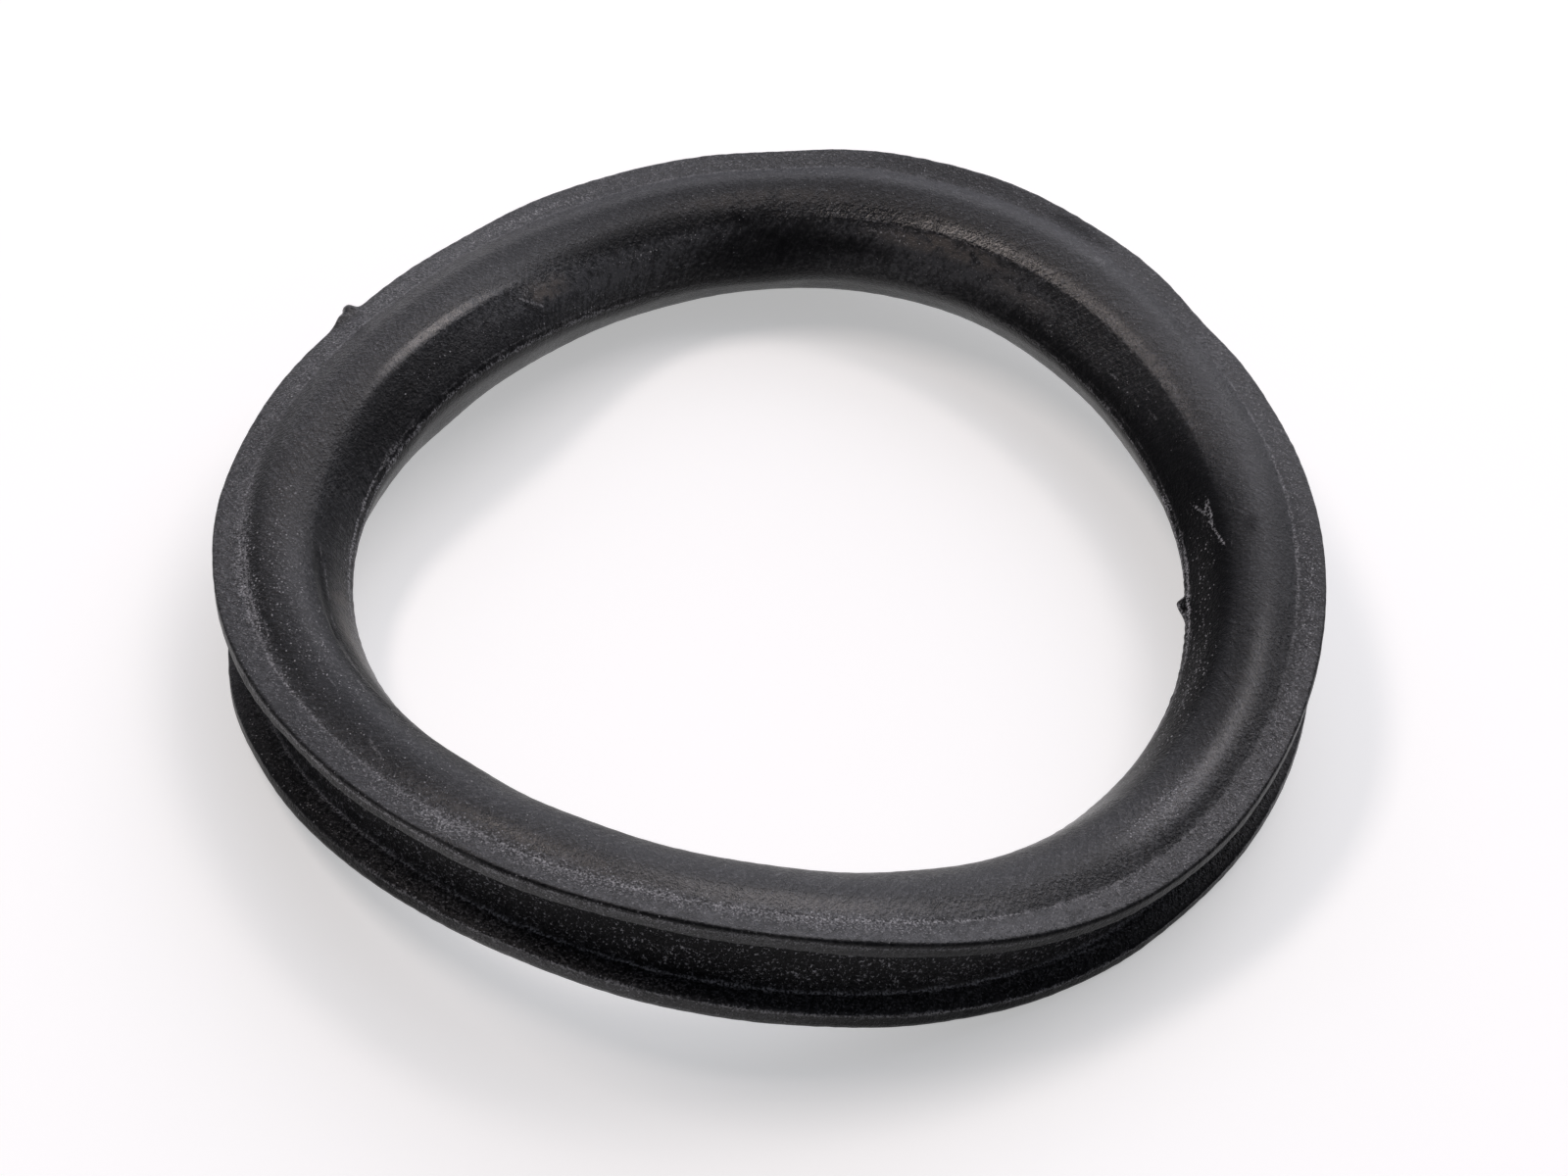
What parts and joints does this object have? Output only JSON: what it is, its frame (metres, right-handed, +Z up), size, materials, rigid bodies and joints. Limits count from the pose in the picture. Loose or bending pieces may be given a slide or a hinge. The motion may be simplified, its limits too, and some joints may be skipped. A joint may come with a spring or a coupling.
{
  "type": "fuel cap seal",
  "caption": "Moulded rubber ring seal with a round bead on each face, an outer groove between two thin lips and a tapered bore.",
  "frame": {"origin": "middle of the ring's footprint, on the surface it rests on", "axes": "+Z up out of the ring's upper face, the bore's axis; +X and +Y across the ring"},
  "size_m": [0.06, 0.0624, 0.0112],
  "materials": {
    "rubber": "satin black moulded rubber, dusty"
  },
  "bodies": {
    "root": {"seal_ring": "rubber"}
  },
  "joints": []
}
